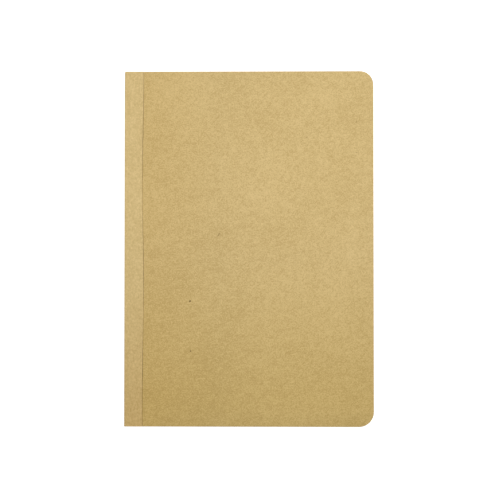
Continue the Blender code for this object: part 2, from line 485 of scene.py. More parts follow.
class Recipe:
    """One material and the nodes that feed its shader."""

    def __init__(self, name: str, follows_surface: bool = True) -> None:
        """Starts a material.

        Args:
            name: The material's name.
            follows_surface: Whether its pattern stays on a piece that bends.
        """
        self.material = bpy.data.materials.new(name)
        self.material.use_nodes = True
        self.tree = self.material.node_tree
        self.shader = self.tree.nodes["Principled BSDF"]
        if follows_surface:
            self.place = self.node("ShaderNodeAttribute", attribute_name=REST_PLACE).outputs["Vector"]
        else:
            self.place = self.node("ShaderNodeTexCoord").outputs["Object"]

    def feed(self, socket: NodeSocket, value: object) -> None:
        """Gives a socket a value, or links another socket to it.

        Args:
            socket: The socket that is fed.
            value: A value, or the socket that it comes from.
        """
        if isinstance(value, NodeSocket):
            self.tree.links.new(value, socket)
        else:
            socket.default_value = value

    def node(self, kind: str, inputs: Optional[dict] = None, **settings: object) -> Node:
        """Adds a node.

        Args:
            kind: Blender's name of the node.
            inputs: A value or a socket for each input that isn't left as it is.
            settings: The node's own settings.

        Returns:
            The new node.
        """
        made = self.tree.nodes.new(kind)
        for key, value in settings.items():
            setattr(made, key, value)
        for key, value in (inputs or {}).items():
            self.feed(made.inputs[key], value)
        return made

    def sum_of(self, first: object, second: object) -> NodeSocket:
        """Two values added."""
        return self.node("ShaderNodeMath", {0: first, 1: second}, operation="ADD").outputs[0]

    def product(self, first: object, second: object) -> NodeSocket:
        """Two values multiplied."""
        return self.node("ShaderNodeMath", {0: first, 1: second}, operation="MULTIPLY").outputs[0]

    def ranged(self, value: object, start: tuple, end: tuple) -> NodeSocket:
        """A value mapped from the range in start to the range in end, and kept inside it.

        Args:
            value: The value or socket to map.
            start: The low and high end of what comes in.
            end: The low and high end of what goes out.

        Returns:
            The mapped value.
        """
        names = ("Value", "From Min", "From Max", "To Min", "To Max")
        inputs = dict(zip(names, (value, *start, *end)))
        return self.node("ShaderNodeMapRange", inputs).outputs["Result"]

    def along(self, axis: Axis, zone: tuple) -> NodeSocket:
        """How far a point lies between two places along an axis, from 0 to 1."""
        parts = self.node("ShaderNodeSeparateXYZ", {"Vector": self.place})
        return self.ranged(parts.outputs[axis.value], zone, (0.0, 1.0))

    def noise(self, size: float, detail: float = 2.0, place: object = None) -> NodeSocket:
        """Soft noise about one half, with spots of a given size in metres."""
        inputs = {"Vector": place or self.place, "Scale": 1 / size, "Detail": detail, "Roughness": 0.55}
        return self.node("ShaderNodeTexNoise", inputs).outputs["Fac"]

    def turned(self, degrees: float, size: tuple, centre: tuple = (0, 0, 0)) -> NodeSocket:
        """Places measured from a centre along turned axes, in lengths of their own.

        Args:
            degrees: The turn about Z.
            size: The length that counts as one along each axis.
            centre: Where the axes meet.

        Returns:
            The new places.
        """
        turn = (0, 0, math.radians(degrees))
        inputs = {"Vector": self.place, "Location": centre, "Rotation": turn, "Scale": size}
        return self.node("ShaderNodeMapping", inputs, vector_type="TEXTURE").outputs["Vector"]

    def mottling(self, grains: Sequence[Grain]) -> NodeSocket:
        """Layers of noise added up, about zero.

        Args:
            grains: The layers.

        Returns:
            Their sum.
        """
        total = 0.0
        for grain in grains:
            noise = self.noise(grain.size, grain.detail)
            total = self.sum_of(total, self.ranged(noise, (0.0, 1.0), (-grain.weight, grain.weight)))
        return total

    def fibre_layers(self, layers: Sequence[Fibres]) -> NodeSocket:
        """Sparse streaks in several directions, each where its noise passes a level.

        Args:
            layers: The layers.

        Returns:
            Their sum, from 0.
        """
        total = 0.0
        for layer in layers:
            place = self.turned(layer.degrees, (layer.length, layer.width, layer.width))
            noise = self.noise(1.0, 1.0, place)
            total = self.sum_of(total, self.ranged(noise, FIBRE_LEVELS, (0.0, layer.weight)))
        return total

    def streaked(self, layers: Sequence[Streaks]) -> NodeSocket:
        """Layers of streaks added up, about the half of their weights.

        Args:
            layers: The layers.

        Returns:
            Their sum.
        """
        total = 0.0
        for layer in layers:
            noise = self.noise(1.0, layer.detail, self.turned(layer.degrees, layer.size))
            total = self.sum_of(total, self.product(noise, layer.weight))
        return total

    def ramp(self, value: object, stops: Sequence[tuple]) -> NodeSocket:
        """Colours along a value from 0 to 1, from a place and a tone for each stop.

        Args:
            value: The value or socket.
            stops: A place and a tone for each stop.

        Returns:
            The colour.
        """
        made = self.node("ShaderNodeValToRGB", {"Fac": value})
        points = made.color_ramp.elements
        while len(points) < len(stops):
            points.new(1.0)
        for point, (place, tone) in zip(points, stops):
            point.position = place
            point.color = tone.rgba
        return made.outputs["Color"]

    def mixed(self, share: object, first: object, second: object, kind: str = "MIX") -> NodeSocket:
        """Two colours mixed by a share of the second."""
        inputs = {0: share, 6: first, 7: second}
        return self.node("ShaderNodeMix", inputs, data_type="RGBA", blend_type=kind).outputs[2]

    def finish(
        self, colour: object, roughness: object, height: object, relief: float, specular: float = 0.2
    ) -> Material:
        """Feeds the shader.

        Args:
            colour: Socket or colour of the base.
            roughness: Socket or number.
            height: Socket of the relief, from 0 to 1.
            relief: How high that relief is, in metres.
            specular: Level of the plain reflection.

        Returns:
            The material.
        """
        bump = self.node("ShaderNodeBump", {"Strength": 1.0, "Distance": relief, "Height": height})
        inputs = {
            "Base Color": colour,
            "Roughness": roughness,
            "Normal": bump.outputs["Normal"],
            "Specular IOR Level": specular,
        }
        for key, value in inputs.items():
            self.feed(self.shader.inputs[key], value)
        return self.material


@dataclass(frozen=True)
class KraftPulp:
    """Kraft pulp: mottling at several sizes, with pale and dark fibres in it."""

    grains: tuple
    pale_fibres: tuple
    dark_fibres: tuple

    def lay(self, recipe: Recipe) -> tuple:
        """The sockets of the pulp's tone, about one half, and of the height of its surface.

        Args:
            recipe: The material that it is for.

        Returns:
            The two sockets.
        """
        mottle = recipe.mottling(self.grains)
        light = recipe.fibre_layers(self.pale_fibres)
        shade = recipe.product(recipe.fibre_layers(self.dark_fibres), -1.0)
        tone = recipe.sum_of(recipe.sum_of(mottle, 0.5), recipe.sum_of(light, shade))
        return tone, recipe.sum_of(mottle, light)


@dataclass(frozen=True)
class KraftBoard:
    """Brown kraft board: mottled pulp, pale and dark fibres, a few flecks of bark, and painted light and
    shade.
    """

    name: str = "kraft_board_face"
    tone: Tone = Tone(0.505, 0.372, 0.159)
    # Painted light: near the tape the board is a more saturated orange, as the light falls there.
    spine_painted_light_tone: Tone = Tone(0.520, 0.373, 0.148)
    spine_light_zone: tuple = (-44 * MM, -12 * MM)
    # Painted shade: the board's colour is multiplied darker and less blue towards the tail, where less
    # light falls.
    tail_painted_shade: Tone = Tone(0.955, 0.928, 0.785)
    tail_shade_zone: tuple = (-4 * MM, -62 * MM)
    contrast: float = 0.047
    relief: float = 0.012 * MM
    roughness: tuple = (0.92, 0.78)
    specular: float = 0.25
    pulp: KraftPulp = KraftPulp(
        grains=(
            Grain(26 * MM, 0.28, 1.0),
            Grain(5.0 * MM, 0.29),
            Grain(1.6 * MM, 0.34),
            Grain(0.56 * MM, 0.92, 1.4),
            Grain(0.40 * MM, 0.30, 0.0),
        ),
        pale_fibres=(
            Fibres(12, 2.2 * MM, 0.22 * MM, 1.0),
            Fibres(78, 1.8 * MM, 0.20 * MM, 1.0),
            Fibres(137, 2.0 * MM, 0.24 * MM, 1.0),
        ),
        dark_fibres=(
            Fibres(-24, 1.9 * MM, 0.20 * MM, 1.0),
            Fibres(48, 2.3 * MM, 0.22 * MM, 1.0),
            Fibres(101, 1.6 * MM, 0.20 * MM, 1.0),
        ),
    )
    flecks: tuple = (
        Fleck(-12.55 * MM, 5.75 * MM, 1.75 * MM, 0.50 * MM, 56, 0.50),
        Fleck(-24.45 * MM, -21.9 * MM, 0.98 * MM, 0.66 * MM, 15, 1.0),
        Fleck(-24.2 * MM, -42.65 * MM, 0.68 * MM, 0.60 * MM, 70, 0.85),
        Fleck(44.8 * MM, 52.8 * MM, 0.95 * MM, 0.30 * MM, 70, 0.5),
        Fleck(44.8 * MM, 39.9 * MM, 0.85 * MM, 0.30 * MM, -15, 0.5),
        Fleck(24.1 * MM, 46.3 * MM, 0.95 * MM, 0.28 * MM, 25, 0.45),
    )
    fleck_rim: tuple = (0.55, 1.25)
    speck_spacing: float = 3.4 * MM
    speck_rim: tuple = (0.035, 0.075)
    speck_chance: tuple = (0.80, 1.0)
    speck_depth: float = 0.42
    bark: Tone = Tone(0.120, 0.078, 0.022)

    def make(self) -> Material:
        """Builds the material.

        Returns:
            The material.
        """
        recipe = Recipe(self.name, follows_surface=False)
        tone, height = self.pulp.lay(recipe)
        # Painted light near the tape, eased out towards the middle of the cover.
        painted_light_near_spine = recipe.ramp(tone, self.spine_painted_light_tone.stops(self.contrast))
        beyond = recipe.ramp(tone, self.tone.stops(self.contrast))
        colour = recipe.mixed(recipe.along(Axis.X, self.spine_light_zone), painted_light_near_spine, beyond)
        # Painted shade: darker towards the tail, across the shade zone.
        colour = recipe.mixed(recipe.along(Axis.Y, self.tail_shade_zone), colour, self.tail_painted_shade.rgba, "MULTIPLY")
        colour = recipe.mixed(self.bark_share(recipe), colour, self.bark.rgba)
        roughness = recipe.ranged(tone, COMMON_TONES, self.roughness)
        return recipe.finish(colour, roughness, height, self.relief, self.specular)

    def bark_share(self, recipe: Recipe) -> NodeSocket:
        """Where bark shows: the larger flecks, each in its place, and fine specks all over.

        Args:
            recipe: The material that it is for.

        Returns:
            The share of bark, from 0 to 1.
        """
        inputs = {"Vector": recipe.place, "Scale": 1 / self.speck_spacing, "Randomness": 1.0}
        specks = recipe.node("ShaderNodeTexVoronoi", inputs)
        specked = recipe.ranged(specks.outputs["Distance"], self.speck_rim, (1.0, 0.0))
        rank = recipe.node("ShaderNodeSeparateColor", {"Color": specks.outputs["Color"]})
        chosen = recipe.ranged(rank.outputs["Red"], self.speck_chance, (0.0, self.speck_depth))
        total = recipe.product(specked, chosen)
        for fleck in self.flecks:
            size = (fleck.length / 2, fleck.width / 2, 1.0)
            place = recipe.turned(fleck.degrees, size, (fleck.x, fleck.y, 0.0))
            reach = recipe.node("ShaderNodeVectorMath", {0: place}, operation="LENGTH").outputs["Value"]
            total = recipe.sum_of(total, recipe.ranged(reach, self.fleck_rim, (fleck.depth, 0.0)))
        return total


@dataclass(frozen=True)
class KraftTape:
    """Smooth kraft tape, paler than the board, with painted shade that makes it a little darker towards the
    tail.
    """

    name: str = "kraft_tape_face"
    # Painted shade: a lit tone at the head and a darker shaded copy of it at the tail.
    lit_head_tone: Tone = Tone(0.547, 0.406, 0.177)
    shaded_tail_tone: Tone = Tone(0.502, 0.347, 0.132)
    tail_shade_shares: tuple = (0.2, 0.95)
    contrast: float = 0.056
    relief: float = 0.008 * MM
    roughness: tuple = (0.78, 0.66)
    specular: float = 0.3
    pulp: KraftPulp = KraftPulp(
        grains=(Grain(14 * MM, 0.12, 1.0), Grain(2.2 * MM, 0.22), Grain(0.75 * MM, 0.62, 1.0)),
        pale_fibres=(Fibres(84, 2.4 * MM, 0.20 * MM, 0.7), Fibres(30, 1.8 * MM, 0.2 * MM, 0.5)),
        dark_fibres=(Fibres(97, 2.2 * MM, 0.20 * MM, 0.7), Fibres(-40, 1.6 * MM, 0.2 * MM, 0.5)),
    )

    def make(self, layout: Layout) -> Material:
        """Builds the material for a book of that layout.

        Args:
            layout: The book's places.

        Returns:
            The material.
        """
        recipe = Recipe(self.name)
        tone, height = self.pulp.lay(recipe)
        head = recipe.ramp(tone, self.lit_head_tone.stops(self.contrast))
        tail = recipe.ramp(tone, self.shaded_tail_tone.stops(self.contrast))
        # Painted shade: the tape goes from the lit head tone to the shaded tail tone along the book.
        zone = [share * layout.tail_y for share in self.tail_shade_shares]
        colour = recipe.mixed(recipe.along(Axis.Y, zone), head, tail)
        roughness = recipe.ranged(tone, COMMON_TONES, self.roughness)
        return recipe.finish(colour, roughness, height, self.relief, self.specular)


@dataclass(frozen=True)
class BookPaper:
    """Uncoated ivory paper, faintly cloudy, with fine tooth."""

    name: str
    tone: Tone
    contrast: float = 0.020
    relief: float = 0.006 * MM
    roughness: float = 0.88
    grains: tuple = (Grain(9 * MM, 0.5), Grain(1.3 * MM, 0.5), Grain(0.35 * MM, 0.5))
    fibres: tuple = (Fibres(20, 1.6 * MM, 0.15 * MM, 0.8), Fibres(110, 1.4 * MM, 0.15 * MM, 0.8))

    def make(self) -> Material:
        """Builds the material.

        Returns:
            The material.
        """
        recipe = Recipe(self.name)
        mottle = recipe.sum_of(recipe.mottling(self.grains), 0.5)
        tone = recipe.sum_of(mottle, recipe.fibre_layers(self.fibres))
        colour = recipe.ramp(tone, self.tone.stops(self.contrast))
        return recipe.finish(colour, self.roughness, tone, self.relief)


@dataclass(frozen=True)
class StreakedFinish:
    """A finish whose tone and relief are a few layers of streaks."""

    name: str
    layers: tuple
    stops: tuple
    roughness: float
    relief: float
    sheen: float = 0.0

    def make(self) -> Material:
        """Builds the material.

        Returns:
            The material.
        """
        recipe = Recipe(self.name)
        tone = recipe.streaked(self.layers)
        recipe.shader.inputs["Sheen Weight"].default_value = self.sheen
        return recipe.finish(recipe.ramp(tone, self.stops), self.roughness, tone, self.relief)


@dataclass(frozen=True)
class SpineGlue:
    """Dried cream glue, brushed on along the spine."""

    name: str = "brushed_glue"
    tone: Tone = Tone(0.58, 0.50, 0.32)
    brushed: Streaks = Streaks((0.3 * MM, 6 * MM, 0.3 * MM), 0.6)
    drop_size: float = 1.2 * MM
    drop_weight: float = 0.4
    roughness: tuple = (0.28, 0.45)
    relief: float = 0.05 * MM
    specular: float = 0.5

    def make(self) -> Material:
        """Builds the material.

        Returns:
            The material.
        """
        recipe = Recipe(self.name)
        drops = recipe.noise(self.drop_size)
        height = recipe.sum_of(recipe.streaked([self.brushed]), recipe.product(drops, self.drop_weight))
        stops = ((0.25, self.tone.shifted(-0.06)), (0.75, self.tone.shifted(0.05)))
        roughness = recipe.ranged(drops, (0.3, 0.7), self.roughness)
        return recipe.finish(recipe.ramp(height, stops), roughness, height, self.relief, self.specular)


# The cut edge of board or tape: layered, darker and rougher than its face.
CUT_PULP = StreakedFinish(
    name="kraft_cut_edge",
    layers=(Streaks((3 * MM, 3 * MM, 0.09 * MM), 0.5), Streaks((0.3 * MM,) * 3, 0.5)),
    stops=Tone(0.400, 0.300, 0.165).stops(0.10, 0.3, 0.7),
    roughness=0.95,
    relief=0.03 * MM,
)

# The trimmed edges of the leaves: a fine stripe for each leaf, bundles, and the knife's faint marks.
CUT_PAPER = StreakedFinish(
    name="paper_cut_edge",
    layers=(
        Streaks((30 * MM, 30 * MM, 0.11 * MM), 0.5),
        Streaks((60 * MM, 60 * MM, 0.9 * MM), 0.25, 1.0),
        Streaks((0.5 * MM, 0.5 * MM, 9 * MM), 0.25, 1.0),
    ),
    stops=Tone(0.72, 0.655, 0.530).stops(0.055, 0.3, 0.7),
    roughness=0.92,
    relief=0.02 * MM,
)

# Unbleached cotton thread, with fine fibres along its plies.
COTTON_TONE = Tone(0.66, 0.62, 0.52)
SPUN_COTTON = StreakedFinish(
    name="spun_cotton",
    layers=(Streaks((0.5 * MM, 0.05 * MM, 0.05 * MM), 1.0, 3.0, 35),),
    stops=((0.3, COTTON_TONE.shifted(-0.09)), (0.7, COTTON_TONE.shifted(0.03))),
    roughness=0.85,
    relief=0.02 * MM,
    sheen=0.25,
)

# Thin brown lining paper, laid with its grain along the spine.
LINING_TONE = Tone(0.50, 0.41, 0.26)
LINING_PAPER = StreakedFinish(
    name="brown_lining_paper",
    layers=(Streaks((0.4 * MM, 3 * MM, 0.4 * MM), 0.5), Streaks((0.8 * MM,) * 3, 0.5)),
    stops=((0.3, LINING_TONE.shifted(-0.06)), (0.7, LINING_TONE.shifted(0.06))),
    roughness=0.9,
    relief=0.02 * MM,
)


class Finishes:
    """Every material of the book, made once."""

    def __init__(self, layout: Layout) -> None:
        """Builds the materials for a book of that layout.

        Args:
            layout: The book's places.
        """
        self.board = KraftBoard().make()
        self.tape = KraftTape().make(layout)
        self.cut_board = CUT_PULP.make()
        self.page = BookPaper("ivory_page", Tone(0.660, 0.612, 0.512)).make()
        self.endpaper = BookPaper("ivory_endpaper", Tone(0.625, 0.575, 0.470), 0.03).make()
        self.cut_paper = CUT_PAPER.make()
        self.cotton = SPUN_COTTON.make()
        self.glue = SpineGlue().make()
        self.lining = LINING_PAPER.make()


def dress_rims(build: BMesh, level: float = UPRIGHT) -> None:
    """Gives the second finish to the faces that stand upright.

    Args:
        build: The mesh to change.
        level: A face whose normal rises less than this stands upright.
    """
    build.normal_update()
    for face in build.faces:
        if abs(face.normal.z) < level:
            face.material_index = 1


# ---------------------------------------------------------------- covers


@dataclass
class CoverBoards:
    """The two covers: kraft board, pressed thinner where the tape lies."""

    trim: Trim
    finishes: Finishes
    edge_softness: float = 0.13 * MM
    edge_segments: int = 3
    rim_degrees: float = 60.0
    row_length: float = 1.6 * MM

    def build(self, tape: "SpineTape") -> None:
        """Makes both covers, each with a bed for the tape."""
        for side in Side:
            self.make_board(side, tape)

    def make_board(self, side: Side, tape: "SpineTape") -> None:
        """Makes one cover.

        Args:
            side: The half that it covers.
            tape: The tape that lies on it.
        """
        place = self.trim.layout
        low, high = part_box("front_cover")
        bed = tape.face_z - tape.thickness - tape.clearance
        build = self.trim.slab(low.x, low.z, bed)
        cut_rows(build, Axis.X, [place.flap_x])
        cut_rows(build, Axis.Y, place.rows(self.row_length))
        for vert in build.verts:
            if near(vert.co.x, place.flap_x):
                vert.co.x = tape.edge_x(vert.co.y) + tape.gap(vert.co.y)
        self.raise_face(build, high.z - bed, place.flap_x + tape.reach_of_wander)
        self.soften(build, high.z)
        dress_rims(build)
        to_side(build, side, place)
        board = make_piece(f"board_{side.value}", build, [self.finishes.board, self.finishes.cut_board])
        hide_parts(side.cover)
        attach(board, side.cover)

    @staticmethod
    def raise_face(build: BMesh, rise: float, beyond: float) -> None:
        """Raises the outer face beyond the tape to the board's full thickness.

        Args:
            build: The mesh to change.
            rise: How far it goes up.
            beyond: Faces whose middle lies past this X are raised.
        """
        build.normal_update()
        upper = [face for face in build.faces if face.normal.z > FACING]
        top = [face for face in upper if face.calc_center_median().x > beyond]
        raised = bmesh.ops.extrude_face_region(build, geom=top)["geom"]
        verts = [part for part in raised if isinstance(part, BMVert)]
        bmesh.ops.translate(build, vec=(0, 0, rise), verts=verts)
        bmesh.ops.recalc_face_normals(build, faces=build.faces)

    def soften(self, build: BMesh, top: float) -> None:
        """Rounds the rim of the outer face, which the cutting has pressed down a little.

        Args:
            build: The mesh to change.
            top: The height of the outer face.
        """
        build.normal_update()
        rim = edges_where(build, lambda point: near(point.z, top))
        rim = [edge for edge in rim if edge.calc_face_angle(0.0) > math.radians(self.rim_degrees)]
        round_edges(build, rim, self.edge_softness, self.edge_segments)


# ---------------------------------------------------------------- spine tape


@dataclass
class SpineTape:
    """One strip of kraft tape round the spine, made as three lengths."""

    trim: Trim
    finishes: Finishes
    thickness: float = 0.20 * MM
    clearance: float = 0.03 * MM
    proud: float = 0.02 * MM
    shoulder: float = 0.50 * MM
    shoulder_segments: int = 6
    turn_across: float = 1.05 * MM
    turn_down: float = 1.25 * MM
    bend_across: float = 1.6 * MM
    bend_down: float = 1.0 * MM
    bend_rows: float = 0.12 * MM
    drift: float = 0.11 * MM
    drift_course: tuple = (60 * MM, 130 * MM)
    wander: float = 0.17 * MM
    wander_course: tuple = (36 * MM, 84 * MM)
    crease: float = 0.055 * MM
    crease_wander: float = 0.032 * MM
    crease_course: tuple = (-32 * MM, 50 * MM)
    spare: float = 0.3 * MM
    lip: float = 0.05 * MM
    lip_reach: float = 0.7 * MM
    lip_rows: tuple = (0.2, 0.5, 1.0)
    lip_wander: float = 0.35
    lip_periods: tuple = (52 * MM, 33 * MM)
    row_length: float = 1.6 * MM
    fold_zone: float = 0.5 * MM
    fold_margin: float = 1.2
    fold_rows: float = 0.07 * MM
    head_wear: float = 0.62 * MM
    cut_margin: float = 0.02 * MM
    end_facing: float = 0.7

    @property
    def face_z(self) -> float:
        """The height of the tape's outer face on the front cover."""
        return self.trim.layout.high_z + self.proud

    @property
    def reach_of_wander(self) -> float:
        """How far past its mean place the tape's edge may lie, with some to spare."""
        return self.wander + 2 * self.drift + self.gap(0.0) + self.spare

    def edge_x(self, y: float) -> float:
        """Where the tape's edge lies on a cover at a place along the book."""
        slow = self.drift * (1 + self.course(y, self.drift_course))
        return self.trim.layout.flap_x + slow + self.wander * self.course(y, self.wander_course)

    def gap(self, y: float) -> float:
        """The width of the crease between the tape's edge and the board's face."""
        return self.crease + self.crease_wander * self.course(y, self.crease_course)

    @staticmethod
    def course(y: float, course: tuple) -> float:
        """One wave along the book, from its shift and its length."""
        return wave(y + course[0], course[1])

    def build(self) -> None:
        """Makes the three lengths of tape."""
        place = self.trim.layout
        quarter = (place.high_z - place.low_z) / 4
        seam = place.middle_z + quarter
        for side in Side:
            wrap = self.length(f"tape_wrap_{side.value}", seam, self.face_z + 2 * self.lip, side)
            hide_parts(f"{side.value}_tape_flap", f"spine_tape_{side.value}")
            blend_to_cover(wrap, side)
        middle = self.length("tape_wrap_middle", place.middle_z - quarter, seam, Side.FRONT)
        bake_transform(middle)

    def length(self, name: str, low_z: float, high_z: float, side: Side) -> Object:
        """Makes one length of the tape.

        Args:
            name: The piece's name.
            low_z: Where it begins.
            high_z: Where it ends.
            side: The half that it is on.

        Returns:
            The new piece.
        """
        build = self.strip()
        keep_between(build, low_z, high_z)
        self.settle(build)
        to_side(build, side, self.trim.layout)
        piece = make_piece(name, build, [self.finishes.tape, self.finishes.cut_board])
        return piece

    def strip(self) -> BMesh:
        """The whole tape as an open sheet, cut into rows across and along it.

        Returns:
            A new mesh.
        """
        place = self.trim.layout
        low = Vector((place.spine_x, place.tail_y, 2 * place.middle_z - self.face_z))
        high = Vector((place.flap_x, place.head_y, self.face_z))
        build = wrapped_sheet(low, high, self.shoulder, self.shoulder_segments)
        near_edge = [place.flap_x - self.lip_reach * share for share in self.lip_rows]
        on_cover = spread(place.spine_x + self.shoulder, place.spine_x + self.bend_across, self.bend_rows)
        cut_rows(build, Axis.X, near_edge + on_cover)
        for sign in (-1, 1):
            top = place.middle_z + sign * (self.face_z - place.middle_z - self.shoulder)
            cut_rows(build, Axis.Z, spread(*sorted((top, top - sign * self.bend_down)), self.bend_rows))
        reach = self.fold_margin * self.fold_zone
        cut_rows(build, Axis.Z, spread(place.middle_z - reach, place.middle_z + reach, self.fold_rows))
        cut_rows(build, Axis.Y, place.rows(self.row_length))
        return build

    def settle(self, build: BMesh) -> None:
        """Lets the edge wander and stand up a little, gives thickness and wears the head's corner.

        Args:
            build: The mesh to change.
        """
        place = self.trim.layout
        for vert in build.verts:
            inward = place.flap_x - vert.co.x
            if inward > self.lip_reach + WELD:
                continue
            share = 1 - inward / self.lip_reach
            outward = 1 if vert.co.z > place.middle_z else -1
            lift = 1 - self.lip_wander + self.lip_wander * wave(vert.co.y, *self.lip_periods)
            vert.co.x += (self.edge_x(vert.co.y) - place.flap_x) * share
            vert.co.z += outward * self.lip * smooth_step(share) * lift
        build.normal_update()
        give_thickness(build, self.thickness)
        centre_x = place.spine_x + self.head_wear
        for vert in build.verts:
            if vert.co.x < centre_x and place.head_y - vert.co.y < WELD:
                across = centre_x - vert.co.x
                vert.co.y -= self.head_wear - math.sqrt(max(0.0, self.head_wear**2 - across**2))
        build.normal_update()
        for face in build.faces:
            at_edge = face.calc_center_median().x > place.flap_x - self.cut_margin
            if abs(face.normal.y) > self.end_facing or at_edge:
                face.material_index = int(abs(face.normal.z) < UPRIGHT)


# ---------------------------------------------------------------- paper


@dataclass
class Gatherings:
    """The sewn sections: nested sheets, each folded once at the spine."""

    trim: Trim
    finishes: Finishes
    sheets: int = 6
    leaf: float = 0.078 * MM
    layer_gap: float = 0.10 * MM
    section_gap: float = 0.045 * MM
    fold_radius: float = 0.40 * MM
    fold_segments: int = 5
    fold_facing: float = 0.3
    row_length: float = 3.0 * MM
    trim_spread: float = 0.035 * MM
    sewing_reach: float = 62.6 * MM
    sewing_room: float = 1.15 * MM
    sewn_sheets: int = 3
    split_gap: float = 0.004 * MM
    centre_gap: float = 0.02 * MM
    centre_reach: float = 22 * MM
    centre_rows: float = 0.8 * MM
    seed: int = 11
    numbers: dict = field(default_factory=lambda: {Side.FRONT: (1, 2, 3), Side.BACK: (7, 6, 5)})

    def build(self) -> None:
        """Makes the six whole sections and the two halves of the middle one."""
        luck = random.Random(self.seed)
        for side in Side:
            for number in self.numbers[side]:
                self.make_section(side, number, luck)
            self.make_middle(side, luck)
            self.make_centre_leaf(side)

    @property
    def slack(self) -> float:
        """How much thicker each side of a section is than its node."""
        return (self.layer_gap - self.section_gap) / 2

    def folded(
        self, left: float, low_z: float, high_z: float, luck: random.Random, room: Optional[float] = None
    ) -> BMesh:
        """One sheet of a section, folded and trimmed.

        Args:
            left: Where its fold lies.
            low_z: The outside of its lower leaf.
            high_z: The outside of its upper leaf.
            luck: Where its small differences come from.
            room: Where its fold goes to clear the thread, if the thread is inside it.

        Returns:
            A new mesh.
        """
        build = self.trim.folded_sheet(left, low_z, high_z, self.fold_radius, self.fold_segments)
        cut_rows(build, Axis.Y, self.trim.layout.rows(self.row_length))
        if room is not None:
            self.clear_sewing(build, left, room)
        self.trim_unevenly(build, left, (low_z + high_z) / 2, luck)
        give_thickness(build, self.leaf)
        return build

    def make_section(self, side: Side, number: int, luck: random.Random) -> None:
        """Makes one whole section.

        Args:
            side: The half that it is in.
            number: Its number, counted from the front.
            luck: Where its small differences come from.
        """
        low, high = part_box(f"signature_{number}")
        low_z, high_z = low.z - self.slack, high.z + self.slack
        pitch = (high_z - low_z - self.leaf) / (2 * self.sheets - 1)
        section = bmesh.new()
        for nested in range(self.sheets):
            left = low.x + nested * self.leaf
            sewn = nested >= self.sheets - self.sewn_sheets
            room = low.x + self.sewing_room if sewn else None
            add_to(section, self.folded(left, low_z + nested * pitch, high_z - nested * pitch, luck, room))
        piece = self.dressed(f"gathering_{number}", section)
        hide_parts(f"signature_{number}")
        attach(piece, side.half)

    def clear_sewing(self, build: BMesh, left: float, room: float) -> None:
        """Moves a sheet's fold clear of the sewing thread, along the length that is sewn.

        Args:
            build: The mesh to change.
            left: Where its fold lies.
            room: Where the fold goes, beyond the thread.
        """
        move = max(0.0, room - left)
        for vert in build.verts:
            if vert.co.x <= left + 3 * self.fold_radius:
                inside = (self.sewing_reach - abs(vert.co.y)) / (2 * self.row_length) + 0.5
                vert.co.x += move * smooth_step(inside)

    def trim_unevenly(self, build: BMesh, left: float, middle: float, luck: random.Random) -> None:
        """Lets the two leaves of a sheet end a hair apart, as trimmed paper does.

        Args:
            build: The mesh to change.
            left: Where its fold lies.
            middle: The height between its leaves.
            luck: Where its small differences come from.
        """
        length = self.trim.layout.fore_x - left
        upper = 1 + luck.uniform(-self.trim_spread, 0.3 * self.trim_spread) / length
        lower = 1 + luck.uniform(-self.trim_spread, 0.3 * self.trim_spread) / length
        slip = luck.uniform(-self.trim_spread, self.trim_spread) / 2
        for vert in build.verts:
            share = upper if vert.co.z > middle else lower
            vert.co.x = left + (vert.co.x - left) * share
            vert.co.y += slip

    def dressed(self, name: str, build: BMesh) -> Object:
        """A piece of paper whose leaves and cut edges have their own finish.

        Args:
            name: The piece's name.
            build: Its mesh, which is freed.

        Returns:
            The new piece.
        """
        dress_rims(build, FACING)
        for face in build.faces:
            if face.normal.x < -self.fold_facing:
                face.material_index = 0
        piece = make_piece(name, build, [self.finishes.page, self.finishes.cut_paper])
        return piece

    def make_middle(self, side: Side, luck: random.Random) -> None:
        """Makes one side of the middle section's outer sheets, curled at their fold.

        Args:
            side: The half that they are in.
            luck: Where their small differences come from.
        """
        place = self.trim.layout
        low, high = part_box("middle_signature_front")
        outer_z = high.z + self.slack
        count = self.sheets - 1
        pitch = (outer_z - low.z - self.leaf + self.centre_gap) / (count - 1)
        section = bmesh.new()
        for nested in range(count):
            top = outer_z - nested * pitch
            sheet = self.folded(low.x + nested * self.leaf, 2 * place.middle_z - top, top, luck)
            self.keep_upper(sheet, place.middle_z + self.split_gap)
            add_to(section, sheet)
        to_side(section, side, place)
        piece = self.dressed(f"gathering_middle_{side.value}", section)
        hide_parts(f"middle_signature_{side.value}")
        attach(piece, side.half)

    @staticmethod
    def keep_upper(build: BMesh, place: float) -> None:
        """Cuts a closed mesh at a height, keeps what is above and closes the cut.

        Args:
            build: The mesh to change.
            place: The height of the cut.
        """
        cut = cut_at(build, Axis.Z, place, clear_inner=True)
        rim = [part for part in cut if isinstance(part, BMEdge)]
        bmesh.ops.holes_fill(build, edges=rim, sides=0)
        bmesh.ops.recalc_face_normals(build, faces=build.faces)

    def make_centre_leaf(self, side: Side) -> None:
        """Makes one leaf of the centre sheet, with narrow rows near its fold.

        Args:
            side: The half that it is on.
        """
        place = self.trim.layout
        low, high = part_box("front_centre_leaf")
        reach = self.centre_reach
        build = self.trim.turning_leaf(low.x, low.z, high.z, reach, self.centre_rows)
        to_side(build, side, place)
        piece = self.dressed(f"centre_leaf_{side.value}", build)
        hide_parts(f"{side.value}_centre_leaf")
        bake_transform(piece)


def add_to(whole: BMesh, part: BMesh) -> None:
    """Adds a mesh to another, and frees it.

    Args:
        whole: The mesh to change.
        part: The mesh that is added.
    """
    mesh = bpy.data.meshes.new("joined_part")
    part.to_mesh(mesh)
    part.free()
    whole.from_mesh(mesh)
    bpy.data.meshes.remove(mesh)


